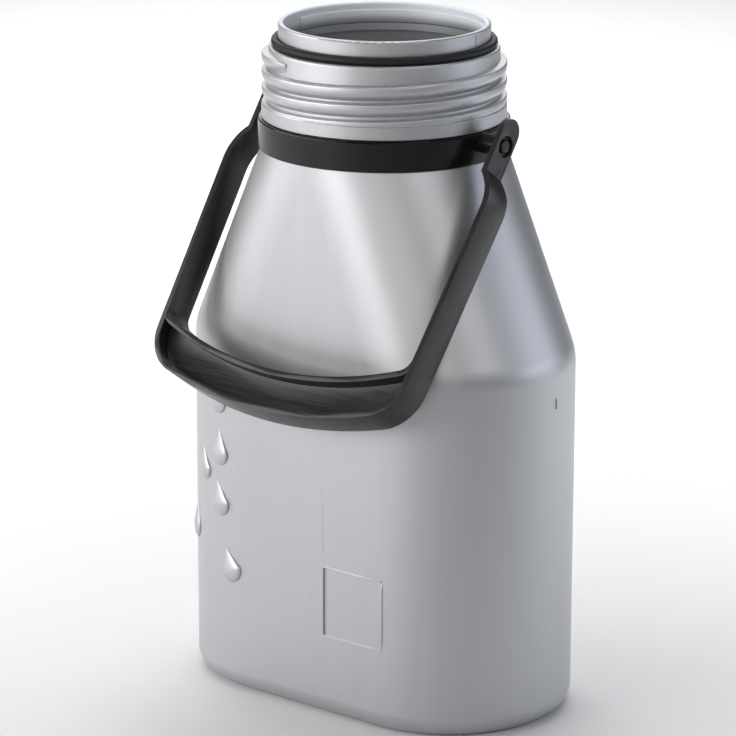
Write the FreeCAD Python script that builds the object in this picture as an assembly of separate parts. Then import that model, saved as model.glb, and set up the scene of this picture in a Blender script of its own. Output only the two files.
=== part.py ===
import FreeCAD, Part
import math
import os

# Plastic milk can: a hollow blow-moulded can with a screw neck, a seal ring on the lip, a snapped-on
# collar with two trunnion pins, and a moulded bail handle that hangs down in front.
# Millimetres. +Z up, the origin is the centre of the base, +X runs along the handle's pivot axis and
# the front of the can faces -Y.

# ---- Body: two flat faces joined by half-round ends ----
FLAT_LENGTH = 63.0          # straight run of the front and back faces
BODY_DEPTH = 92.5           # front face to back face
BODY_HEIGHT = 136.0         # base to the lower edge of the shoulder
BASE_ROUND = 7.5            # round between the base and the walls
WALL = 2.0                  # wall left by the blow moulding

# ---- Shoulder: flat front and back triangles between two slanting half cones ----
SHOULDER_HEIGHT = 72.0
SHOULDER_BLEND = 3.5        # the walls bend into the shoulder this far below and above its edge
BLEND_SECTIONS = 5

# ---- Label recess, low on the front ----
RECESS_LEFT = 9.3           # left edge, from the middle of the front
RECESS_WIDTH = 27.0
RECESS_BOTTOM = 32.3        # lower edge above the base
RECESS_HEIGHT = 26.0
RECESS_DEPTH = 0.7

# ---- Neck, from the shoulder up ----
NECK_RADIUS = 45.0          # over the thread and the plain land below it
SHOULDER_LEDGE = 0.2        # the shoulder ends this much wider than the neck
COLLAR_HEIGHT = 11.3        # height of the collar's groove
COLLAR_GROOVE_DEPTH = 1.0
LAND_HEIGHT = 5.5
THREAD_DEPTH = 1.8          # from the thread's crest to the plain wall that carries it
THREAD_HEIGHT = 20.9
THREAD_TAPER = 0.9          # the wall draws in by this much towards the top
LEDGE_WIDTH = 3.45          # ledge between the neck and the lip
LIP_HEIGHT = 8.5
NECK_ROUND = 0.8            # rounds of the neck's top edge and of the lip
LAND_ROUND = 0.5

# ---- Seal ring on the lip ----
SEAL_THICKNESS = 3.1
SEAL_SEAT_DEPTH = 0.5       # how far its seat is cut into the lip
SEAL_CLEARANCE = 0.05

# ---- Collar and its trunnions ----
COLLAR_THICKNESS = 2.2
COLLAR_CLEARANCE = 0.1
COLLAR_ROUND = 0.5
BOSS_RADIUS = 3.7           # the bosses stand flush with the collar's top
BOSS_LENGTH = 7.3
PIN_RADIUS = 2.5
PIN_CLEARANCE = 0.06        # running fit of the pin in the bail's eye
PIN_ROUND = 0.8
EYE_SIDE_GAP = 0.4          # between the boss and the eye plate

# ---- Bail, drawn standing upright over its pivot and then swung down to hang in front ----
STRAP_THICKNESS = 2.2
STRAP_FRONT = 5.5           # reach of the strap in front of the pivot, as it hangs
STRAP_BACK = 7.4            # and behind it
EYE_BACK = 5.0              # the eye plates are narrower than the strap at the back
EYE_END = 10.4              # eye plate above the pivot, as it hangs
EYE_LENGTH = 11.5           # and below it, to the bend
EYE_RECESS_RADIUS = 4.0
EYE_RECESS_DEPTH = 1.7
ARM_OFFSET = 5.6            # the arms stand this far outside the eye plates, to clear a lid
BEND_RADIUS = 19.0
FLARE_LENGTH = 6.0          # the strap grows to its full width over this length
ARM_LEAN = 2.1              # degrees; the arms draw together towards the grip
GRIP_REACH = 117.2          # pivot to the outside of the grip, at its middle
GRIP_DEPTH = 16.0           # inside to outside of the grip
GRIP_RADIUS = 165.0         # gentle bow of the grip
GRIP_CORNER_RADIUS = 17.0
FINGER_CORNER_RADIUS = 6.0
WEB_THICKNESS = 2.2         # web of the grip's I section
REST_CLEARANCE = 0.3        # the arms touch the shoulder with this much to spare
REST_LIFT = 2.4             # degrees; the bail hangs this far off that touch
HANG_STEPS = 40             # steps of the search for that touch

# ---- Levels and places that follow ----
HALF_FLAT = FLAT_LENGTH / 2
END_RADIUS = BODY_DEPTH / 2
COLLAR_FOOT = BODY_HEIGHT + SHOULDER_HEIGHT
COLLAR_TOP = COLLAR_FOOT + COLLAR_HEIGHT
LAND_TOP = COLLAR_TOP + LAND_HEIGHT
NECK_TOP = LAND_TOP + THREAD_HEIGHT
LIP_TOP = NECK_TOP + LIP_HEIGHT
PIVOT_Z = COLLAR_TOP - COLLAR_CLEARANCE - BOSS_RADIUS

SHOULDER_TOP_RADIUS = NECK_RADIUS + SHOULDER_LEDGE
COLLAR_GROOVE_RADIUS = NECK_RADIUS - COLLAR_GROOVE_DEPTH
THREAD_FOOT_RADIUS = NECK_RADIUS - THREAD_DEPTH
THREAD_TOP_RADIUS = THREAD_FOOT_RADIUS - THREAD_TAPER
LIP_RADIUS = THREAD_TOP_RADIUS - LEDGE_WIDTH
LIP_BORE_RADIUS = LIP_RADIUS - WALL

COLLAR_BORE_RADIUS = COLLAR_GROOVE_RADIUS + COLLAR_CLEARANCE
COLLAR_RADIUS = COLLAR_BORE_RADIUS + COLLAR_THICKNESS
EYE_INNER = COLLAR_RADIUS + BOSS_LENGTH + EYE_SIDE_GAP
EYE_OUTER = EYE_INNER + STRAP_THICKNESS
STRAP_WIDTH = STRAP_FRONT + STRAP_BACK
BEND_CENTRE_X = EYE_OUTER + ARM_OFFSET - BEND_RADIUS
BEND_HEIGHT = EYE_LENGTH + math.sqrt(BEND_RADIUS ** 2 - (EYE_OUTER - BEND_CENTRE_X) ** 2)
FINGER_CROWN = GRIP_REACH - GRIP_DEPTH

X_AXIS = FreeCAD.Vector(1, 0, 0)
Z_AXIS = FreeCAD.Vector(0, 0, 1)


def at(x, y, z):
    return FreeCAD.Vector(x, y, z)


def fuse_all(shapes):
    return shapes[0].multiFuse(shapes[1:]).removeSplitter()


# ---- Can body ----

def end_arc(centre_x, radius, z, side):
    """Half circle round one end of the can, from the front to the back. side is 1 or -1."""
    return Part.Arc(at(side * centre_x, -radius, z), at(side * (centre_x + radius), 0, z),
                    at(side * centre_x, radius, z)).toShape()


def stadium_wire(half_flat, radius, z):
    front = Part.LineSegment(at(-half_flat, -radius, z), at(half_flat, -radius, z)).toShape()
    back = Part.LineSegment(at(half_flat, radius, z), at(-half_flat, radius, z)).toShape()
    return Part.Wire([front, end_arc(half_flat, radius, z, 1), back, end_arc(half_flat, radius, z, -1)])


def blend_share(rise):
    """How far a section has moved from the stadium (0) to the neck's circle (1) at this rise above the
    shoulder's edge. A parabola joins the upright wall to the slanting shoulder."""
    if rise <= -SHOULDER_BLEND:
        return 0.0
    if rise >= SHOULDER_BLEND:
        return rise / SHOULDER_HEIGHT
    return (rise + SHOULDER_BLEND) ** 2 / (4 * SHOULDER_BLEND * SHOULDER_HEIGHT)


def shoulder_form(half_flat, radius, foot, top_radius, top):
    """Solid between a stadium and a circle: two flat triangles and two ruled half cones."""
    faces = [Part.Face(stadium_wire(half_flat, radius, foot)),
             Part.Face(Part.Wire(Part.makeCircle(top_radius, at(0, 0, top))))]
    for side in (1, -1):
        faces.append(Part.makeRuledSurface(end_arc(half_flat, radius, foot, side),
                                           end_arc(0, top_radius, top, side)))
        corners = [at(-half_flat, side * radius, foot), at(half_flat, side * radius, foot),
                   at(0, side * top_radius, top)]
        faces.append(Part.Face(Part.makePolygon(corners + corners[:1])))
    shell = Part.makeCompound(faces)
    shell.sewShape()
    return Part.Solid(shell.Shells[0])


def body_form(inset):
    """Outside of the body and shoulder, or the same form that much further in."""
    radius = END_RADIUS - inset
    top_radius = SHOULDER_TOP_RADIUS - inset
    lean = math.atan2(HALF_FLAT + END_RADIUS - SHOULDER_TOP_RADIUS, SHOULDER_HEIGHT)
    edge = BODY_HEIGHT - inset * math.tan(lean / 2)

    def section(rise):
        share = blend_share(rise)
        return HALF_FLAT * (1 - share), radius + (top_radius - radius) * share, edge + rise

    rises = [SHOULDER_BLEND * (2 * i / (BLEND_SECTIONS - 1) - 1) for i in range(BLEND_SECTIONS)]
    walls = Part.Face(stadium_wire(HALF_FLAT, radius, inset)).extrude(at(0, 0, edge + rises[0] - inset))
    base_edges = [e for e in walls.Edges if abs(e.BoundBox.ZMax - inset) < 1e-4]
    walls = walls.makeFillet(BASE_ROUND - inset, base_edges)
    band = Part.makeLoft([stadium_wire(*section(rise)) for rise in rises], True, False)
    shoulder = shoulder_form(*section(rises[-1]), top_radius, COLLAR_FOOT - inset)
    return fuse_all([walls, band, shoulder])


def turned(profile):
    """Solid turned about the Z axis from a closed profile of (radius, height) points."""
    points = [at(r, 0, z) for r, z in profile]
    return Part.Face(Part.makePolygon(points + points[:1])).revolve(at(0, 0, 0), Z_AXIS, 360)


def ring_edges(shape, radius, z):
    """The circular edges of this radius at this height."""
    found = []
    for edge in shape.Edges:
        box = edge.BoundBox
        if abs(box.ZMin - z) < 1e-3 and abs(box.ZMax - z) < 1e-3 and abs(box.XMax - radius) < 1e-2:
            found.append(edge)
    return found


def neck_form():
    """Outside of the neck: collar groove, land, wall under the thread, ledge for the seal, lip."""
    seat_radius = LIP_RADIUS - SEAL_SEAT_DEPTH
    seat_top = NECK_TOP + SEAL_THICKNESS
    neck = turned([(0, COLLAR_FOOT - 2 * WALL), (COLLAR_GROOVE_RADIUS, COLLAR_FOOT - 2 * WALL),
                   (COLLAR_GROOVE_RADIUS, COLLAR_TOP), (NECK_RADIUS, COLLAR_TOP), (NECK_RADIUS, LAND_TOP),
                   (THREAD_FOOT_RADIUS, LAND_TOP), (THREAD_TOP_RADIUS, NECK_TOP), (seat_radius, NECK_TOP),
                   (seat_radius, seat_top), (LIP_RADIUS, seat_top), (LIP_RADIUS, LIP_TOP), (0, LIP_TOP)])
    neck = neck.makeFillet(LAND_ROUND, ring_edges(neck, NECK_RADIUS, COLLAR_TOP)
                           + ring_edges(neck, NECK_RADIUS, LAND_TOP))
    return neck.makeFillet(NECK_ROUND, ring_edges(neck, THREAD_TOP_RADIUS, NECK_TOP))


def neck_bore():
    """Inside of the neck: it follows the outside at the wall's thickness."""
    groove = COLLAR_GROOVE_RADIUS - WALL
    return turned([(0, COLLAR_FOOT - 2 * WALL), (groove, COLLAR_FOOT - 2 * WALL), (groove, LAND_TOP - WALL),
                   (THREAD_FOOT_RADIUS - WALL, LAND_TOP - WALL), (THREAD_TOP_RADIUS - WALL, NECK_TOP - WALL),
                   (LIP_BORE_RADIUS, NECK_TOP - WALL), (LIP_BORE_RADIUS, LIP_TOP + WALL),
                   (0, LIP_TOP + WALL)])


def label_recess():
    """Shallow rectangular recess whose floor follows the front wall."""
    block = Part.makeBox(RECESS_WIDTH, BODY_DEPTH, RECESS_HEIGHT, at(RECESS_LEFT, -BODY_DEPTH, RECESS_BOTTOM))
    return block.cut(body_form(RECESS_DEPTH))


def can_body():
    outside = fuse_all([body_form(0), neck_form()])
    inside = fuse_all([body_form(WALL), neck_bore()])
    can = outside.cut(inside).cut(label_recess())
    rim = ring_edges(can, LIP_RADIUS, LIP_TOP) + ring_edges(can, LIP_BORE_RADIUS, LIP_TOP)
    return can.makeFillet(NECK_ROUND, rim)


# ---- Seal ring ----

def seal_ring():
    """Round-section ring that sits in its seat on the lip, above the neck's ledge."""
    section = SEAL_THICKNESS / 2 - SEAL_CLEARANCE
    middle = LIP_RADIUS - SEAL_SEAT_DEPTH + SEAL_THICKNESS / 2
    return Part.makeTorus(middle, section, at(0, 0, NECK_TOP + SEAL_THICKNESS / 2), Z_AXIS)


# ---- Collar ----

def collar():
    """Band snapped into the neck's groove, with a boss and a trunnion pin at each end."""
    foot = COLLAR_FOOT + COLLAR_CLEARANCE
    height = COLLAR_HEIGHT - 2 * COLLAR_CLEARANCE
    band = Part.makeCylinder(COLLAR_RADIUS, height, at(0, 0, foot), Z_AXIS)
    rims = ring_edges(band, COLLAR_RADIUS, foot) + ring_edges(band, COLLAR_RADIUS, foot + height)
    shapes = [band.makeFillet(COLLAR_ROUND, rims)]
    root_x = COLLAR_GROOVE_RADIUS - BOSS_RADIUS
    for side in (1, -1):
        outward = X_AXIS * side
        root = at(side * root_x, 0, PIVOT_Z)
        shapes.append(Part.makeCylinder(BOSS_RADIUS, COLLAR_RADIUS + BOSS_LENGTH - root_x, root, outward))
        pin = Part.makeCylinder(PIN_RADIUS, EYE_OUTER - root_x, root, outward)
        tip = [e for e in pin.Edges if e.BoundBox.XLength < 1e-3 and abs(e.BoundBox.Center.x) > EYE_INNER]
        shapes.append(pin.makeFillet(PIN_ROUND, tip))
    below = at(0, 0, COLLAR_FOOT - COLLAR_HEIGHT)
    bore = Part.makeCylinder(COLLAR_BORE_RADIUS, 3 * COLLAR_HEIGHT, below, Z_AXIS)
    return fuse_all(shapes).cut(bore)


# ---- Bail ----

def arm_x(inset, height):
    """Outside of the arm at this height above the pivot, or that much further in."""
    lean = math.radians(ARM_LEAN)
    start_x = BEND_CENTRE_X + (BEND_RADIUS - inset) * math.cos(lean)
    start_height = BEND_HEIGHT + (BEND_RADIUS - inset) * math.sin(lean)
    return start_x - (height - start_height) * math.tan(lean)


def arch_height(radius, crown, x):
    """Height on an arc of this radius whose crown is over the middle."""
    return crown - radius + math.sqrt(radius * radius - x * x)


def corner_height(inset, radius, crown):
    """Height where the arm meets the arch."""
    height = crown
    for _ in range(20):
        height = arch_height(radius, crown, arm_x(inset, height))
    return height


def bail_panel(inset, radius, crown, corner_radius):
    """Flat-sided solid that fills the bail's outline from the eyes to the arch, at the strap's width."""
    plate_x = EYE_OUTER - inset
    lean = math.radians(ARM_LEAN)
    bend = BEND_RADIUS - inset
    kink = math.acos((plate_x - BEND_CENTRE_X) / bend)
    top = corner_height(inset, radius, crown)

    def on_bend(side, angle):
        x = BEND_CENTRE_X + bend * math.cos(angle)
        return at(side * x, -STRAP_BACK, BEND_HEIGHT + bend * math.sin(angle))

    edges = []
    corners = {}
    for side in (1, -1):
        foot = at(side * plate_x, -STRAP_BACK, -EYE_END)
        corner = at(side * arm_x(inset, top), -STRAP_BACK, top)
        corners[side] = corner
        edges.append(Part.LineSegment(foot, on_bend(side, -kink)).toShape())
        middle = on_bend(side, (lean - kink) / 2)
        edges.append(Part.Arc(on_bend(side, -kink), middle, on_bend(side, lean)).toShape())
        edges.append(Part.LineSegment(on_bend(side, lean), corner).toShape())
    edges.append(Part.Arc(corners[1], at(0, -STRAP_BACK, crown), corners[-1]).toShape())
    feet = [at(side * plate_x, -STRAP_BACK, -EYE_END) for side in (1, -1)]
    edges.append(Part.LineSegment(*feet).toShape())
    outline = Part.Wire(Part.__sortEdges__(edges))
    panel = Part.Face(outline).extrude(at(0, STRAP_WIDTH, 0))
    corner_edges = [e for e in panel.Edges if e.BoundBox.YLength > STRAP_WIDTH - 1e-3
                    and abs(e.BoundBox.Center.z - top) < 1e-3]
    return panel.makeFillet(corner_radius, corner_edges)


def side_profile():
    """The strap seen from the side: a rounded eye plate that flares into the full-width arm."""
    eye_width = STRAP_FRONT + EYE_BACK
    eye_radius = eye_width / 2
    round_height = eye_radius - EYE_END
    flare_top = EYE_LENGTH + FLARE_LENGTH
    top = GRIP_REACH + STRAP_THICKNESS
    reach = EYE_OUTER + ARM_OFFSET + STRAP_THICKNESS
    points = [at(-reach, -EYE_BACK, round_height), at(-reach, -EYE_BACK, EYE_LENGTH),
              at(-reach, -STRAP_BACK, flare_top), at(-reach, -STRAP_BACK, top),
              at(-reach, STRAP_FRONT, top), at(-reach, STRAP_FRONT, round_height)]
    edges = [Part.LineSegment(a, b).toShape() for a, b in zip(points, points[1:])]
    crown = at(-reach, STRAP_FRONT - eye_radius, -EYE_END)
    edges.append(Part.Arc(points[-1], crown, points[0]).toShape())
    return Part.Face(Part.Wire(edges)).extrude(at(2 * reach, 0, 0))


def grip_pocket():
    """Hollow between the grip's two flanges, over the whole width of the strap, less the web."""
    hollow = bail_panel(STRAP_THICKNESS, GRIP_RADIUS - STRAP_THICKNESS, GRIP_REACH - STRAP_THICKNESS,
                        GRIP_CORNER_RADIUS - STRAP_THICKNESS)
    flange = bail_panel(0, GRIP_RADIUS - GRIP_DEPTH + STRAP_THICKNESS, FINGER_CROWN + STRAP_THICKNESS,
                        FINGER_CORNER_RADIUS + STRAP_THICKNESS)
    web_middle = (STRAP_FRONT - STRAP_BACK) / 2
    web = Part.makeBox(4 * EYE_OUTER, WEB_THICKNESS, 2 * GRIP_REACH,
                       at(-2 * EYE_OUTER, web_middle - WEB_THICKNESS / 2, 0))
    return hollow.cut(flange).cut(web)


def clearance_at(hang):
    """Least distance, level with each point, between the can and the back edge of an arm that hangs at
    this many degrees from the vertical."""
    swing = math.radians(hang)
    least = BODY_DEPTH
    for step in range(HANG_STEPS + 1):
        height = BEND_HEIGHT + (GRIP_REACH - BEND_HEIGHT) * step / HANG_STEPS
        y = STRAP_BACK * math.cos(swing) - height * math.sin(swing)
        z = PIVOT_Z - STRAP_BACK * math.sin(swing) - height * math.cos(swing)
        share = min(1.0, blend_share(z - BODY_HEIGHT))
        flat = HALF_FLAT * (1 - share)
        radius = END_RADIUS + (SHOULDER_TOP_RADIUS - END_RADIUS) * share
        beside = max(0.0, arm_x(STRAP_THICKNESS, height) - flat)
        least = min(least, math.hypot(beside, y) - radius)
    return least


def hang_angle():
    """The bail rests with its arms on the shoulder, less a small lift."""
    low, high = 5.0, 80.0
    for _ in range(HANG_STEPS):
        middle = (low + high) / 2
        if clearance_at(middle) < REST_CLEARANCE:
            low = middle
        else:
            high = middle
    return high + REST_LIFT


def bail():
    outline = bail_panel(0, GRIP_RADIUS, GRIP_REACH, GRIP_CORNER_RADIUS)
    finger_gap = bail_panel(STRAP_THICKNESS, GRIP_RADIUS - GRIP_DEPTH, FINGER_CROWN, FINGER_CORNER_RADIUS)
    strap = outline.cut(finger_gap).common(side_profile()).cut(grip_pocket())
    hole_radius = PIN_RADIUS + PIN_CLEARANCE
    strap = strap.cut(Part.makeCylinder(hole_radius, 2 * EYE_OUTER + 2, at(-EYE_OUTER - 1, 0, 0), X_AXIS))
    for side in (1, -1):
        floor = at(side * (EYE_OUTER - EYE_RECESS_DEPTH), 0, 0)
        strap = strap.cut(Part.makeCylinder(EYE_RECESS_RADIUS, EYE_RECESS_DEPTH + 1, floor, X_AXIS * side))
    strap.rotate(at(0, 0, 0), X_AXIS, 180 - hang_angle())
    strap.translate(at(0, 0, PIVOT_Z))
    return strap


def write(name, shape):
    solids = shape.Solids
    if len(solids) != 1 or not shape.isValid():
        raise RuntimeError("%s: %d solids, valid %s" % (name, len(solids), shape.isValid()))
    solids[0].exportStep("parts/%s.step" % name)
    print("%-10s %8.1f mm3" % (name, solids[0].Volume))


def main():
    os.makedirs("parts", exist_ok=True)
    write("can_body", can_body())
    write("seal_ring", seal_ring())
    write("collar", collar())
    write("handle", bail())


main()
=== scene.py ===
"""Visual model of a plastic milk can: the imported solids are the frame, and this add-on gives them their
screw thread, raised drops, mould marks, rounded bail, plastics and studio."""

import math

import bmesh
import bpy
from mathutils import Matrix, Vector


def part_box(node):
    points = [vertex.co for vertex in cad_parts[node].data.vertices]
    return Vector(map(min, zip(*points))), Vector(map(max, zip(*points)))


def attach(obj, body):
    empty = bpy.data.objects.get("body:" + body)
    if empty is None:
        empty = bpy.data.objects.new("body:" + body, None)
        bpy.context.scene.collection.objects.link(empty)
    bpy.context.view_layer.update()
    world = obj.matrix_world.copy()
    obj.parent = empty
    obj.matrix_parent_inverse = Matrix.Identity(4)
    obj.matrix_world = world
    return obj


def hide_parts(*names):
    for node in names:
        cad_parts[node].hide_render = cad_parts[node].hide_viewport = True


bl_info = {
    "name": "Milk Can",
    "version": (1, 0, 0),
    "blender": (4, 5, 0),
    "location": "3D View > Sidebar > Milk Can",
    "description": "Finishes a packed milk can: thread, drops, mould marks, bail, plastics and studio",
    "category": "Object",
}

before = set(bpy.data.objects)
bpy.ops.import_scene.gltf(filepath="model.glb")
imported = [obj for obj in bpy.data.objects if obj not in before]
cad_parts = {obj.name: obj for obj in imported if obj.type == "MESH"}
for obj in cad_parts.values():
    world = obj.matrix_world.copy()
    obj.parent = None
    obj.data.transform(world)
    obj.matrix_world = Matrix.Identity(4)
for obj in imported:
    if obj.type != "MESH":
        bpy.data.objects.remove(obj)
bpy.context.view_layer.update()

MM = 0.001
NEAR = 1e-6                                 # metres: what lies closer than this is in one place
CAN_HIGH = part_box("can_body")[1]
END_RADIUS = CAN_HIGH.y                     # round of the body's ends, metres
END_CENTRE = CAN_HIGH.x - END_RADIUS        # middle of that round, either side of the axis, metres

# Walls that carry marks: distance of each from the neck's axis. Millimetres.
FRONT_WALL = 46.25
END_WALL = 77.75
NECK_WALL = 42.0
LIP_WALL = 38.85
COLLAR_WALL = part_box("collar")[1].y / MM

# Raised drops: place of the round end along the wall from the middle of the front, its height, the
# width, the length from round end to tip, and the lean of the tip in degrees. Millimetres.
DROPS = (
    ("drop_1", -43.0, 107.4, 10.0, 14.5, 2.0),
    ("drop_2", -42.1, 87.3, 9.9, 14.7, 1.0),
    ("drop_3", -53.2, 78.9, 9.6, 13.6, 12.0),
    ("drop_4", -41.9, 67.6, 10.4, 14.6, 12.0),
    ("drop_5", -65.0, 52.2, 10.0, 16.4, -6.0),
    ("drop_6", -35.6, 42.9, 9.8, 14.2, 21.0),
)

# Raised mould marks: direction of the outward normal in degrees from +X towards +Y, the wall, place
# along it to the left of the normal, height of the mark's middle, its length up the wall, its width,
# share of the seam's relief, and slot. Millimetres. The four label marks are the rims of the recess.
MARKS = (
    ("parting_lip", 6.8, LIP_WALL, 0.0, 251.0, 4.6, 0.35, 1.0, "can_plastic"),
    ("parting_neck", 7.5, NECK_WALL, 0.0, 243.6, 3.2, 0.4, 1.0, "can_plastic"),
    ("parting_end", 0.0, END_WALL, 3.9, 122.6, 4.6, 0.4, 0.9, "can_plastic"),
    ("flow_line", -90.0, FRONT_WALL, 8.85, 83.0, 48.0, 1.0, 0.25, "can_plastic"),
    ("label_left", -90.0, FRONT_WALL, 8.95, 45.3, 26.6, 0.6, 0.25, "can_plastic"),
    ("label_right", -90.0, FRONT_WALL, 36.65, 45.3, 26.6, 0.9, 0.2, "can_plastic"),
    ("label_top", -90.0, FRONT_WALL, 22.8, 58.65, 0.6, 27.6, 0.35, "can_plastic"),
    ("label_bottom", -90.0, FRONT_WALL, 22.8, 31.95, 0.6, 27.6, 0.25, "can_plastic"),
    ("gate_mark", -49.7, COLLAR_WALL, 0.0, 213.4, 0.5, 4.6, 1.0, "collar_plastic"),
)

# Softboxes: azimuth from the front (-Y) towards +X and elevation in degrees, as seen from the can,
# distance, width and height in metres, power in watts, colour.
SOFTBOXES = (
    ("front", -38.0, 15.0, 1.3, 2.0, 0.5, 17.0, "#ffffff"),
    ("front_near", -10.0, 22.0, 1.3, 0.7, 0.7, 1.5, "#ffffff"),
    ("middle", 30.0, 20.0, 1.1, 0.7, 0.35, 1.4, "#ffffff"),
    ("right_high", 74.0, 32.0, 0.95, 0.5, 0.35, 1.3, "#ffffff"),
    ("right_low", 128.0, 12.0, 1.2, 1.0, 0.5, 3.2, "#e9f0ff"),
    ("back", -138.0, 30.0, 1.8, 2.0, 1.2, 15.0, "#ffffff"),
)

# Lamps with a grid, which hang over the floor beside the can and shine straight down: place on X and Y,
# height, width and depth in metres, power in watts, spread of the grid in degrees.
FLOOR_LAMPS = (
    ("left", -0.42, -0.22, 0.9, 0.5, 0.7, 1.1, 70.0),
    ("right", 0.38, 0.50, 0.9, 0.5, 0.6, 1.5, 60.0),
    ("behind", -0.50, 0.66, 1.2, 1.3, 1.1, 5.6, 70.0),
)


# ---- Sizes and colours that a user may change ----

class MILKCAN_PG_sizes(bpy.types.PropertyGroup):
    thread_crest: bpy.props.FloatProperty(
        name="Thread crest", description="Radius over the screw thread",
        default=44.9 * MM, unit="LENGTH", subtype="DISTANCE")
    thread_pitch: bpy.props.FloatProperty(
        name="Thread pitch", description="Rise of the thread in one turn",
        default=6.1 * MM, unit="LENGTH", subtype="DISTANCE")
    drop_relief: bpy.props.FloatProperty(
        name="Drop relief", description="How far the drops stand out of the wall",
        default=1.55 * MM, unit="LENGTH", subtype="DISTANCE")
    seam_relief: bpy.props.FloatProperty(
        name="Seam relief", description="How far the mould's parting line stands proud",
        default=0.2 * MM, unit="LENGTH", subtype="DISTANCE")
    bail_round: bpy.props.FloatProperty(
        name="Bail rounding", description="Radius of the rounds along the bail's rims",
        default=0.75 * MM, unit="LENGTH", subtype="DISTANCE")


class MILKCAN_PG_finish(bpy.types.PropertyGroup):
    silver: bpy.props.StringProperty(
        name="Silver", description="Colour of the can's pigmented polyethylene, sRGB hex",
        default="#babbbd")
    # Painted light: a paler colour inside the lip, standing for the light that shines through its thin wall
    # above the seal ring.
    lip_painted_glow: bpy.props.StringProperty(
        name="Lip", description="Colour of the lip's thin, milky inner wall, sRGB hex",
        default="#dfe4ea")
    bail_black: bpy.props.StringProperty(
        name="Bail black", description="Colour of the bail's polypropylene, sRGB hex",
        default="#242122")
    collar_black: bpy.props.StringProperty(
        name="Collar black", description="Colour of the collar's polypropylene, sRGB hex",
        default="#131112")
    rubber_black: bpy.props.StringProperty(
        name="Rubber black", description="Colour of the seal ring's rubber, sRGB hex",
        default="#161618")
    floor_white: bpy.props.StringProperty(
        name="Floor", description="Colour of the floor, sRGB hex",
        default="#d5d6d7")


# ---- Mesh helpers ----

def new_object(operator, name, **settings):
    """Add a primitive with nothing else selected, name it and return it."""
    if bpy.context.object and bpy.context.object.mode != "OBJECT":
        bpy.ops.object.mode_set(mode="OBJECT")
    bpy.ops.object.select_all(action="DESELECT")
    operator(**settings)
    made = bpy.context.object
    made.name = name
    made.data.name = name
    return made


def select_in(made, kind, test):
    """Go into edit mode with only the vertices, edges or faces that pass the test selected."""
    if made.mode != "EDIT":
        leave_edit()
        bpy.ops.object.select_all(action="DESELECT")
        bpy.context.view_layer.objects.active = made
        made.select_set(True)
        bpy.ops.object.mode_set(mode="EDIT")
    bpy.ops.mesh.select_mode(type=kind)
    bpy.ops.mesh.select_all(action="DESELECT")
    form = bmesh.from_edit_mesh(made.data)
    items = {"VERT": form.verts, "EDGE": form.edges, "FACE": form.faces}[kind]
    chosen = [item for item in items if test(item)]
    if not chosen:
        raise RuntimeError("nothing to select in " + made.name)
    for item in chosen:
        item.select_set(True)
    bmesh.update_edit_mesh(made.data)


def leave_edit():
    """Go back to object mode."""
    if bpy.context.mode != "OBJECT":
        bpy.ops.object.mode_set(mode="OBJECT")


def middle_of(item):
    """Middle of an edge or face."""
    points = [v.co for v in item.verts]
    return sum(points, Vector()) / len(points)


def keep_outline():
    """Take the face out of a flat section that is in edit mode, so that it can be wound round."""
    bpy.ops.mesh.select_all(action="SELECT")
    bpy.ops.mesh.delete(type="ONLY_FACE")
    leave_edit()


def close_ends(made):
    """Fill both open ends of a wound section and turn its faces outwards."""
    select_in(made, "EDGE", lambda e: e.is_boundary)
    bpy.ops.mesh.fill()
    bpy.ops.mesh.select_all(action="SELECT")
    bpy.ops.mesh.normals_make_consistent(inside=False)


def apply_modifier(made, kind, **settings):
    """Add a modifier with these settings and apply it at once."""
    bpy.context.view_layer.objects.active = made
    modifier = made.modifiers.new(kind.title(), kind)
    for name, value in settings.items():
        setattr(modifier, name, value)
    bpy.ops.object.modifier_apply(modifier=modifier.name)


def settle(made, turn=Matrix.Identity(4)):
    """Put the piece where turn says and leave its object at the origin, unturned and unscaled."""
    leave_edit()
    bpy.ops.object.select_all(action="DESELECT")
    bpy.context.view_layer.objects.active = made
    made.select_set(True)
    made.matrix_world = turn @ made.matrix_world
    bpy.ops.object.transform_apply(location=True, rotation=True, scale=True)


def finish_piece(made, body, material, smooth=35.0):
    """Check that the piece is closed, smooth it, give it its material and make it ride on its body."""
    leave_edit()
    form = bmesh.new()
    form.from_mesh(made.data)
    is_open = not form.faces or any(not edge.is_manifold for edge in form.edges)
    form.free()
    if is_open:
        raise RuntimeError(made.name + " is not a closed shape")
    bpy.ops.object.select_all(action="DESELECT")
    bpy.context.view_layer.objects.active = made
    made.select_set(True)
    bpy.ops.object.shade_smooth_by_angle(angle=math.radians(smooth))
    made.data.materials.clear()
    made.data.materials.append(material)
    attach(made, body)


def copy_of(made, name):
    """A copy with a mesh of its own."""
    leave_edit()
    twin = bpy.data.objects.new(name, made.data.copy())
    twin.data.name = name
    bpy.context.scene.collection.objects.link(twin)
    twin.matrix_world = made.matrix_world
    return twin


# ---- Material helpers ----

def linear(code):
    """A linear colour with alpha from an sRGB hex value."""
    parts = [int(code[i:i + 2], 16) / 255 for i in (1, 3, 5)]
    return [p / 12.92 if p <= 0.04045 else ((p + 0.055) / 1.055) ** 2.4 for p in parts] + [1.0]


def add_node(tree, kind, values=None, **settings):
    """Add a node. values fills its inputs by name or number, with a constant or another node's output."""
    made = tree.nodes.new("ShaderNode" + kind)
    for name, value in settings.items():
        setattr(made, name, value)
    for key, value in (values or {}).items():
        if isinstance(value, bpy.types.NodeSocket):
            tree.links.new(value, made.inputs[key])
        else:
            made.inputs[key].default_value = value
    return made


def shaded(colour, share):
    """A colour made lighter or darker by a share."""
    return [min(1.0, c * share) for c in colour[:3]] + [1.0]


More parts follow.
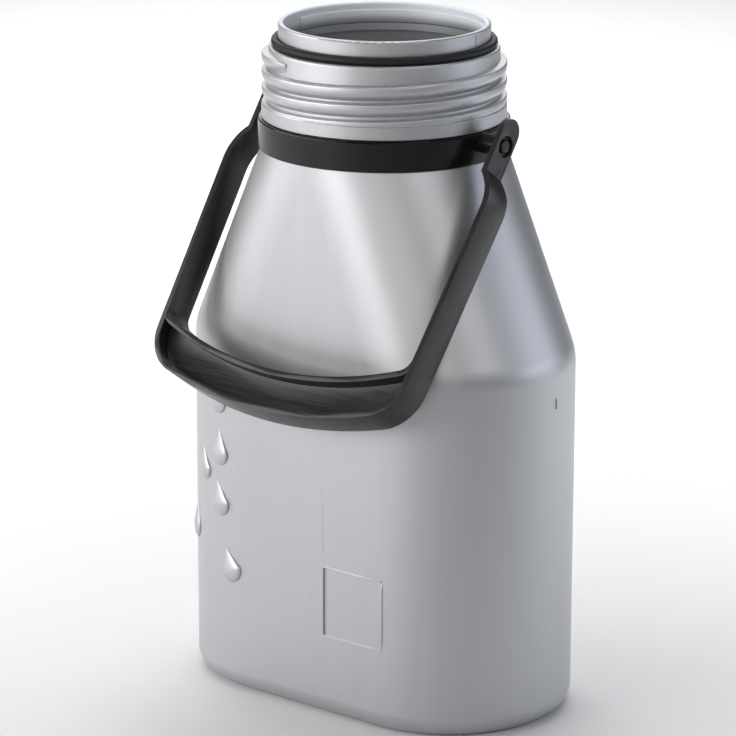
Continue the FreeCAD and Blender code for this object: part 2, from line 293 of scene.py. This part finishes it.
def streak_noise(tree, place, sizes_mm, lean):
    """Noise from 0 to 1, drawn out to these sizes along the axes, after a turn about X."""
    drawn = add_node(tree, "Mapping", {"Vector": place, "Rotation": (lean, 0, 0),
                                       "Scale": [size * MM for size in sizes_mm]},
                     vector_type="TEXTURE").outputs["Vector"]
    noise = add_node(tree, "TexNoise", {"Vector": drawn, "Scale": 1.0, "Detail": 3.0,
                                        "Roughness": 0.55}).outputs["Fac"]
    return add_node(tree, "MapRange", {"Value": noise, "From Min": 0.3, "From Max": 0.7}).outputs["Result"]


def plastic(name, colour, drift, streak_mm, grain_mm, grain_height_mm, rough, rough_drift, lean=0.0,
            inside_glow=None, across_mm=None, **shader):
    """A moulded material: streaks that drift in colour and gloss, and a fine grain from the mould's wall.
    lean turns the streaks about X. An optional inside colour and metallic share, for what lies inside a
    radius, fades in between two heights; it paints light, a paler colour standing for light that shines
    through a thin wall. across_mm is a height below which the streaks run along X instead. A Mix node's
    inputs 2 and 3 are its numbers, and 6 and 7 its colours."""
    material = bpy.data.materials.get(name)
    if material:
        return material
    material = bpy.data.materials.new(name)
    material.use_nodes = True
    tree = material.node_tree
    tree.nodes.clear()
    place = add_node(tree, "TexCoord").outputs["Object"]
    streaks = streak_noise(tree, place, streak_mm, lean)
    if across_mm:
        height = add_node(tree, "SeparateXYZ", {"Vector": place}).outputs["Z"]
        share = add_node(tree, "MapRange", {"Value": height, "From Min": (across_mm - 2) * MM,
                                            "From Max": (across_mm + 2) * MM}).outputs["Result"]
        lying = streak_noise(tree, place, streak_mm[::-1], lean)
        streaks = add_node(tree, "Mix", {"Factor": share, 2: lying, 3: streaks}).outputs[0]
    tint = add_node(tree, "Mix", {"Factor": streaks, 6: shaded(colour, 1 - drift),
                                  7: shaded(colour, 1 + drift)}, data_type="RGBA").outputs[2]
    grain = add_node(tree, "TexNoise", {"Vector": place, "Scale": 1 / (grain_mm * MM), "Detail": 2.0,
                                        "Roughness": 0.6}).outputs["Fac"]
    skin = add_node(tree, "MapRange", {"Value": streaks, "To Min": rough - rough_drift,
                                       "To Max": rough + rough_drift}).outputs["Result"]
    relief = add_node(tree, "Bump", {"Height": grain, "Strength": 1.0,
                                     "Distance": grain_height_mm * MM}).outputs["Normal"]
    values = {"Base Color": tint, "Roughness": skin, "Normal": relief, **shader}
    # Painted light: inside the radius and above the lower height, the base colour turns to the paler inside
    # colour and the metallic share drops, standing for light through a thin wall; the fade below is painted
    # shade where that light is kept out.
    if inside_glow:
        glow_colour, inner_metallic, radius_mm, from_mm, to_mm = inside_glow
        axes = add_node(tree, "SeparateXYZ", {"Vector": place}).outputs
        level = add_node(tree, "CombineXYZ", {"X": axes["X"], "Y": axes["Y"]}).outputs["Vector"]
        radius = add_node(tree, "VectorMath", {0: level}, operation="LENGTH").outputs["Value"]
        inside = add_node(tree, "MapRange", {"Value": radius, "From Min": (radius_mm + 0.1) * MM,
                                             "From Max": (radius_mm - 0.1) * MM}).outputs["Result"]
        above = add_node(tree, "MapRange", {"Value": axes["Z"], "From Min": from_mm * MM,
                                            "From Max": to_mm * MM},
                         interpolation_type="SMOOTHSTEP").outputs["Result"]
        share = add_node(tree, "Math", {0: inside, 1: above}, operation="MULTIPLY").outputs["Value"]
        values["Base Color"] = add_node(tree, "Mix", {"Factor": share, 6: tint, 7: glow_colour},
                                        data_type="RGBA").outputs[2]
        values["Metallic"] = add_node(tree, "MapRange", {"Value": share, "To Min": shader["Metallic"],
                                                         "To Max": inner_metallic}).outputs["Result"]
    surface = add_node(tree, "BsdfPrincipled", values).outputs["BSDF"]
    add_node(tree, "OutputMaterial", {"Surface": surface})
    return material


def silver_polyethylene():
    """Polyethylene with aluminium pigment, blow-moulded against a blasted wall: a soft metallic satin whose
    flow streaks run down the can, with a dull, slightly grained skin. Inside the mouth, above the seal
    ring, a paler and less metallic colour is painted light, for the light that shines through the thin lip;
    it fades out towards the ring's level, below which the ring keeps that light out."""
    finish = bpy.context.scene.milkcan_finish
    lip_metallic = 0.1
    # Painted light: inside this radius, fading in between these heights, the lip takes a paler colour that
    # stands for light shining through its thin wall above the seal ring.
    inside_mm, glow_from_mm, glow_to_mm = 37.6, 247.2, 250.6
    return plastic("Silver polyethylene, blow-moulded", linear(finish.silver), drift=0.015,
                   streak_mm=(3.5, 3.5, 70.0), grain_mm=0.45, grain_height_mm=0.006, rough=0.43,
                   rough_drift=0.015, Metallic=0.8, IOR=1.51,
                   inside_glow=(linear(finish.lip_painted_glow), lip_metallic, inside_mm, glow_from_mm, glow_to_mm))


def bail_polypropylene():
    """Polypropylene, injection-moulded: charcoal with a low sheen and fine scuffs along the strap, which
    run down the arms and across the grip."""
    low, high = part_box("handle")
    grip_mm = 24                # the grip is this high, above the bail's lowest point
    return plastic("Black polypropylene, injection-moulded",
                   linear(bpy.context.scene.milkcan_finish.bail_black), drift=0.18,
                   streak_mm=(0.9, 0.9, 26.0), grain_mm=0.35, grain_height_mm=0.012, rough=0.34,
                   rough_drift=0.08, lean=-math.atan2(-low.y, high.z - low.z),
                   across_mm=low.z / MM + grip_mm, IOR=1.49)


def collar_polypropylene():
    """Polypropylene, injection-moulded in a polished tool: nearly black, with a smoother sheen."""
    return plastic("Black polypropylene, polished tool",
                   linear(bpy.context.scene.milkcan_finish.collar_black), drift=0.1,
                   streak_mm=(6.0, 6.0, 1.0), grain_mm=0.4, grain_height_mm=0.006, rough=0.24,
                   rough_drift=0.04, IOR=1.49, **{"Specular IOR Level": 0.4})


def seal_rubber():
    """Seal rubber, compression-moulded: a dull black that swallows most of the light along the bead."""
    return plastic("Black seal rubber, compression-moulded",
                   linear(bpy.context.scene.milkcan_finish.rubber_black), drift=0.1,
                   streak_mm=(2.0, 2.0, 2.0), grain_mm=0.5, grain_height_mm=0.008, rough=0.55,
                   rough_drift=0.05, IOR=1.52, **{"Specular IOR Level": 0.3})


# ---- Pieces ----

class MILKCAN_OT_nodes(bpy.types.Operator):
    """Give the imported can, seal ring and collar their plastics"""
    bl_idname = "milkcan.nodes"
    bl_label = "Can, seal and collar"

    def execute(self, context):
        for name, material, slot in (("can_body", silver_polyethylene(), "can_plastic"),
                                     ("seal_ring", seal_rubber(), "seal_rubber"),
                                     ("collar", collar_polypropylene(), "collar_plastic")):
            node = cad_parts[name]
            node.data.materials.clear()
            node.data.materials.append(material)
        return {"FINISHED"}


class MILKCAN_OT_thread(bpy.types.Operator):
    """Wind the ridge of the screw thread round the neck"""
    bl_idname = "milkcan.thread"
    bl_label = "Screw thread"

    END_ANGLE = -107.0          # where the thread's top end stands, from +X
    END_LEVEL = 242.4 * MM      # height of the crest's middle there
    FOOT_LEVEL = 222.4 * MM     # the ridge runs out inside the land
    ROOT = 42.15 * MM           # the ridge is rooted inside the wall
    CREST_HALF = 1.45 * MM
    UPPER_FLANK = 0.55 * MM     # how far the root spreads up
    LOWER_FLANK = 2.9 * MM      # how far it spreads down
    UPPER_ROUND = 0.5 * MM      # rounds of the crest
    LOWER_ROUND = 1.1 * MM
    STEPS_PER_TURN = 120
    TAPER_STEPS = 9             # the ridge thins out over this many steps towards its top end
    TIP_SHARE = 0.3             # what is left of its section there

    def execute(self, context):
        sizes = context.scene.milkcan_sizes
        depth = sizes.thread_crest - self.ROOT
        turns = (self.END_LEVEL - self.FOOT_LEVEL) / sizes.thread_pitch
        steps = round(turns * self.STEPS_PER_TURN)
        ridge = new_object(bpy.ops.mesh.primitive_plane_add, "thread", size=1.0,
                           rotation=(math.pi / 2, 0, 0))
        ridge.scale = (depth, 2 * self.CREST_HALF, 1)
        settle(ridge)
        settle(ridge, Matrix.Translation((self.ROOT + depth / 2, 0, 0)))
        # The root corners spread up and down, so that the ridge has a short top flank and a long lower one.
        inner = self.ROOT + depth / 2
        select_in(ridge, "VERT", lambda v: v.co.x < inner and v.co.z > 0)
        bpy.ops.transform.translate(value=(0, 0, self.UPPER_FLANK))
        select_in(ridge, "VERT", lambda v: v.co.x < inner and v.co.z < 0)
        bpy.ops.transform.translate(value=(0, 0, -self.LOWER_FLANK))
        select_in(ridge, "VERT", lambda v: v.co.x > inner and v.co.z > 0)
        bpy.ops.mesh.bevel(offset=self.UPPER_ROUND, segments=4, affect="VERTICES")
        select_in(ridge, "VERT", lambda v: v.co.x > inner and v.co.z < 0)
        bpy.ops.mesh.bevel(offset=self.LOWER_ROUND, segments=6, affect="VERTICES")
        keep_outline()
        apply_modifier(ridge, "SCREW", axis="Z", angle=-turns * math.tau,
                       screw_offset=self.FOOT_LEVEL - self.END_LEVEL, steps=steps, render_steps=steps,
                       use_merge_vertices=True, merge_threshold=1e-7, use_normal_calculate=True)
        self.thin_out(ridge, turns * math.tau / steps, sizes.thread_pitch)
        close_ends(ridge)
        settle(ridge, Matrix.Translation((0, 0, self.END_LEVEL))
               @ Matrix.Rotation(math.radians(self.END_ANGLE), 4, "Z"))
        finish_piece(ridge, "can", silver_polyethylene())
        return {"FINISHED"}

    def thin_out(self, ridge, step_angle, pitch):
        """Shrink the sections near the top end towards the wall, more and more up to the last one."""
        for step in range(self.TAPER_STEPS):
            share = 1 - (1 - self.TIP_SHARE) * (1 - step / self.TAPER_STEPS) ** 2
            back = Matrix.Rotation(step * step_angle, 3, "Z")
            drop = pitch * step * step_angle / math.tau
            # The section in this half plane, and not the one a turn below it.
            select_in(ridge, "VERT", lambda v: abs((back @ v.co).y) < 0.01 * MM
                      and (back @ v.co).x > 0 and v.co.z > -0.6 * pitch - drop)
            bpy.ops.transform.resize(value=(share, share, share),
                                     center_override=back.inverted() @ Vector((self.ROOT, 0, -drop)))


class MILKCAN_OT_drops(bpy.types.Operator):
    """Raise the drops on the left of the front"""
    bl_idname = "milkcan.drops"
    bl_label = "Raised drops"

    RADIUS = 5.0 * MM           # of the round end of the pattern
    RINGS = 20
    NARROWING = 0.9             # exponent of the taper towards the tip
    TIP_STRETCH = 1.9

    def execute(self, context):
        relief = context.scene.milkcan_sizes.drop_relief
        radius = self.RADIUS
        pattern = new_object(bpy.ops.mesh.primitive_uv_sphere_add, "drop_pattern", segments=48,
                             ring_count=self.RINGS, radius=radius)
        # Each ring above the middle narrows towards the tip. The back half stays inside the wall.
        for level in range(1, self.RINGS // 2):
            height = math.sin(math.pi * level / self.RINGS)
            narrow = (1 - height) ** self.NARROWING
            select_in(pattern, "VERT", lambda v: abs(v.co.z - radius * height) < NEAR)
            bpy.ops.transform.resize(value=(narrow, narrow, 1))
        select_in(pattern, "VERT", lambda v: v.co.z > NEAR)
        bpy.ops.transform.resize(value=(1, 1, self.TIP_STRETCH), center_override=(0, 0, 0))
        bpy.ops.mesh.select_all(action="SELECT")
        bpy.ops.transform.resize(value=(1, relief / radius, 1), center_override=(0, 0, 0))
        leave_edit()
        length = max(v.co.z for v in pattern.data.vertices) + radius
        for name, along, foot, width, height, lean in DROPS:
            drop = copy_of(pattern, name)
            size = Matrix.Diagonal((width * MM / (2 * radius), 1, height * MM / length, 1))
            # Past the end of the flat front, the rest of the way runs round the end of the body.
            beyond = min(0.0, along * MM + END_CENTRE)
            turn = Matrix.Rotation(beyond / END_RADIUS, 4, "Z")
            centre = Vector((-END_CENTRE if beyond else along * MM, 0, 0))
            raise_to = Vector((0, -END_RADIUS, foot * MM + radius * size[2][2]))
            lean_by = Matrix.Rotation(math.radians(-lean), 4, "Y")
            settle(drop, Matrix.Translation(centre) @ turn @ Matrix.Translation(raise_to) @ lean_by @ size)
            finish_piece(drop, "can", silver_polyethylene(), 60.0)
        bpy.data.objects.remove(pattern)
        return {"FINISHED"}


class MILKCAN_OT_marks(bpy.types.Operator):
    """Raise the marks that the mould's parting planes leave, and the step inside the lip"""
    bl_idname = "milkcan.marks"
    bl_label = "Mould marks"

    ROOT = 0.4 * MM             # depth of each mark inside the wall
    RUN_OUT = 0.12              # share of the length over which each end runs out into the wall
    EDGE_ROUND = 0.3            # round of the outer edges, as a share of the narrower side
    STEP_BORE = 36.85 * MM      # bore of the lip
    STEP_FOOT = 246.4 * MM
    STEP_TOP = 251.6 * MM
    STEP_STARTS = 7.0           # degrees from +X, from where the step runs half a turn round the back
    STEP_PROUD = 0.6 * MM
    STEP_ROUND = 0.58 * MM
    STEP_SECTIONS = 72

    def execute(self, context):
        relief = context.scene.milkcan_sizes.seam_relief
        materials = {"can_plastic": silver_polyethylene(), "collar_plastic": collar_polypropylene()}
        for name, normal, distance, along, height, length, width, share, slot in MARKS:
            mark = new_object(bpy.ops.mesh.primitive_cube_add, name, size=1.0)
            mark.scale = (self.ROOT + relief * share, width * MM, length * MM)
            settle(mark)
            for side in (1, -1):
                select_in(mark, "VERT", lambda v: v.co.x > 0 and v.co.z * side > 0)
                bpy.ops.transform.translate(value=(0, 0, -side * self.RUN_OUT * length * MM))
            select_in(mark, "EDGE", lambda e: all(v.co.x > 0 for v in e.verts))
            bpy.ops.mesh.bevel(offset=self.EDGE_ROUND * min(length, width) * MM, segments=3)
            settle(mark, Matrix.Rotation(math.radians(normal), 4, "Z")
                   @ Matrix.Translation((distance * MM + relief * share - mark.dimensions.x / 2,
                                         along * MM, height * MM)))
            finish_piece(mark, "can", materials[slot], 60.0)
        self.lip_step()
        return {"FINISHED"}

    def lip_step(self):
        """One half of the mould leaves the lip's inner wall a little thicker, with a soft upper edge."""
        depth = self.ROOT + self.STEP_PROUD
        step = new_object(bpy.ops.mesh.primitive_plane_add, "lip_step", size=1.0,
                          rotation=(math.pi / 2, 0, 0))
        step.scale = (depth, self.STEP_TOP - self.STEP_FOOT, 1)
        settle(step)
        inner = self.STEP_BORE - self.STEP_PROUD
        settle(step, Matrix.Translation((inner + depth / 2, 0, (self.STEP_TOP + self.STEP_FOOT) / 2)))
        select_in(step, "VERT", lambda v: v.co.x < inner + depth / 2)
        bpy.ops.mesh.bevel(offset=self.STEP_ROUND, segments=6, affect="VERTICES")
        keep_outline()
        apply_modifier(step, "SCREW", axis="Z", angle=math.pi, screw_offset=0.0,
                       steps=self.STEP_SECTIONS, render_steps=self.STEP_SECTIONS,
                       use_normal_calculate=True)
        close_ends(step)
        settle(step, Matrix.Rotation(math.radians(self.STEP_STARTS), 4, "Z"))
        finish_piece(step, "can", silver_polyethylene())


class MILKCAN_OT_bail(bpy.types.Operator):
    """Round the rims of the bail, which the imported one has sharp"""
    bl_idname = "milkcan.bail"
    bl_label = "Bail"

    FLAT_ANGLE = 0.6            # degrees: faces that meet at less are made one
    RIM_ANGLE = 35.0            # degrees: edges sharper than this are rims

    def execute(self, context):
        bail = copy_of(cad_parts["handle"], "bail")
        select_in(bail, "VERT", lambda v: True)
        bpy.ops.mesh.remove_doubles(threshold=NEAR)
        bpy.ops.mesh.dissolve_limited(angle_limit=math.radians(self.FLAT_ANGLE))
        leave_edit()
        apply_modifier(bail, "BEVEL", width=context.scene.milkcan_sizes.bail_round, segments=3,
                       limit_method="ANGLE", angle_limit=math.radians(self.RIM_ANGLE),
                       use_clamp_overlap=True, miter_outer="MITER_ARC")
        finish_piece(bail, "bail", bail_polypropylene(), 30.0)
        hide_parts("handle")
        return {"FINISHED"}


class MILKCAN_OT_studio(bpy.types.Operator):
    """Set up the floor, the lamps and the camera"""
    bl_idname = "milkcan.studio"
    bl_label = "Studio"

    FLOOR_RADIUS = 5.0          # metres, as the next two
    WALL_HEIGHT = 3.0
    SWEEP_RADIUS = 1.2
    AIR_COLOUR = "#e9eef6"
    AIR_STRENGTH = 0.02
    LAMP_TARGET = Vector((0, 0, 0.12))      # the middle of the can, which the softboxes face
    SENSOR_WIDTH = 36.0         # millimetres, as the focal length
    FOCAL_LENGTH = 194.15
    CAMERA_PLACE = (0.89621, -1.10590, 0.53306)
    CAMERA_RIGHT = (0.77396, 0.63323, 0.00234)
    CAMERA_UP = (-0.17715, 0.21297, 0.96087)
    CAMERA_BACK = (0.60795, -0.74408, 0.27701)

    def execute(self, context):
        self.floor(context)
        self.air(context)
        self.softboxes()
        self.floor_lamps()
        self.camera()
        context.scene.view_settings.view_transform = "Standard"
        return {"FINISHED"}

    def floor(self, context):
        """A round floor whose rim sweeps up into a wall on all sides."""
        floor = new_object(bpy.ops.mesh.primitive_circle_add, "studio_floor", vertices=96,
                           radius=self.FLOOR_RADIUS, fill_type="NGON")
        select_in(floor, "EDGE", lambda e: True)
        bpy.ops.mesh.extrude_region_move(TRANSFORM_OT_translate={"value": (0, 0, self.WALL_HEIGHT)})
        select_in(floor, "EDGE", lambda e: middle_of(e).z < NEAR)
        bpy.ops.mesh.bevel(offset=self.SWEEP_RADIUS, segments=12)
        bpy.ops.mesh.select_all(action="SELECT")
        bpy.ops.mesh.normals_make_consistent(inside=True)
        leave_edit()
        bpy.ops.object.shade_smooth_by_angle(angle=math.radians(40))
        material = bpy.data.materials.new("Studio floor, matt painted")
        material.use_nodes = True
        shader = material.node_tree.nodes["Principled BSDF"]
        shader.inputs["Base Color"].default_value = linear(context.scene.milkcan_finish.floor_white)
        shader.inputs["Roughness"].default_value = 0.9
        shader.inputs["Specular IOR Level"].default_value = 0.1
        floor.data.materials.append(material)

    def air(self, context):
        """A faint, slightly cool light from all round."""
        world = bpy.data.worlds.new("Studio air")
        context.scene.world = world
        world.use_nodes = True
        background = world.node_tree.nodes["Background"]
        background.inputs["Color"].default_value = linear(self.AIR_COLOUR)
        background.inputs["Strength"].default_value = self.AIR_STRENGTH

    def area_lamp(self, name, width, height, power, place):
        """A rectangular lamp that the camera doesn't see, shining down until it is turned."""
        lamp = bpy.data.lights.new(name, "AREA")
        lamp.shape = "RECTANGLE"
        lamp.size = width
        lamp.size_y = height
        lamp.energy = power
        holder = bpy.data.objects.new(name, lamp)
        bpy.context.scene.collection.objects.link(holder)
        holder.location = place
        holder.visible_camera = False
        return holder

    def softboxes(self):
        """Softboxes round the can, each facing its middle."""
        for name, azimuth, elevation, distance, width, height, power, colour in SOFTBOXES:
            a, e = math.radians(azimuth), math.radians(elevation)
            away = Vector((math.sin(a) * math.cos(e), -math.cos(a) * math.cos(e), math.sin(e)))
            holder = self.area_lamp("softbox_" + name, width, height, power,
                                    away * distance + self.LAMP_TARGET)
            holder.data.color = linear(colour)[:3]
            holder.rotation_mode = "QUATERNION"
            holder.rotation_quaternion = away.to_track_quat("Z", "Y")

    def floor_lamps(self):
        """Lamps with a grid over the floor, which lighten it and hardly reach the can."""
        for name, x, y, height, width, depth, power, spread in FLOOR_LAMPS:
            holder = self.area_lamp("floor_lamp_" + name, width, depth, power, (x, y, height))
            holder.data.spread = math.radians(spread)

    def camera(self):
        """A long lens, placed by its position and the three directions of its own axes."""
        lens = bpy.data.cameras.new("camera")
        lens.sensor_width = self.SENSOR_WIDTH
        lens.lens = self.FOCAL_LENGTH
        lens.clip_start = 0.05
        lens.clip_end = 30.0
        camera = bpy.data.objects.new("camera", lens)
        bpy.context.scene.collection.objects.link(camera)
        axes = Matrix((self.CAMERA_RIGHT, self.CAMERA_UP, self.CAMERA_BACK)).transposed()
        camera.matrix_world = Matrix.Translation(self.CAMERA_PLACE) @ axes.to_4x4()
        bpy.context.scene.camera = camera


class MILKCAN_PT_panel(bpy.types.Panel):
    """Steps of the milk can, in order"""
    bl_idname = "MILKCAN_PT_panel"
    bl_label = "Milk Can"
    bl_space_type = "VIEW_3D"
    bl_region_type = "UI"
    bl_category = "Milk Can"

    def draw(self, context):
        for group in (context.scene.milkcan_sizes, context.scene.milkcan_finish):
            for name in group.__annotations__:
                self.layout.prop(group, name)
        for step in STEPS:
            self.layout.operator(step.bl_idname)


STEPS = (MILKCAN_OT_nodes, MILKCAN_OT_thread, MILKCAN_OT_drops, MILKCAN_OT_marks, MILKCAN_OT_bail,
         MILKCAN_OT_studio)
CLASSES = (MILKCAN_PG_sizes, MILKCAN_PG_finish, *STEPS, MILKCAN_PT_panel)


def register():
    for cls in CLASSES:
        bpy.utils.register_class(cls)
    bpy.types.Scene.milkcan_sizes = bpy.props.PointerProperty(type=MILKCAN_PG_sizes)
    bpy.types.Scene.milkcan_finish = bpy.props.PointerProperty(type=MILKCAN_PG_finish)


def unregister():
    del bpy.types.Scene.milkcan_finish
    del bpy.types.Scene.milkcan_sizes
    for cls in reversed(CLASSES):
        bpy.utils.unregister_class(cls)


def main():
    """Build the milk can and its studio."""
    register()
    bpy.ops.milkcan.nodes()
    bpy.ops.milkcan.thread()
    bpy.ops.milkcan.drops()
    bpy.ops.milkcan.marks()
    bpy.ops.milkcan.bail()
    bpy.ops.milkcan.studio()


if __name__ == "__main__":
    main()
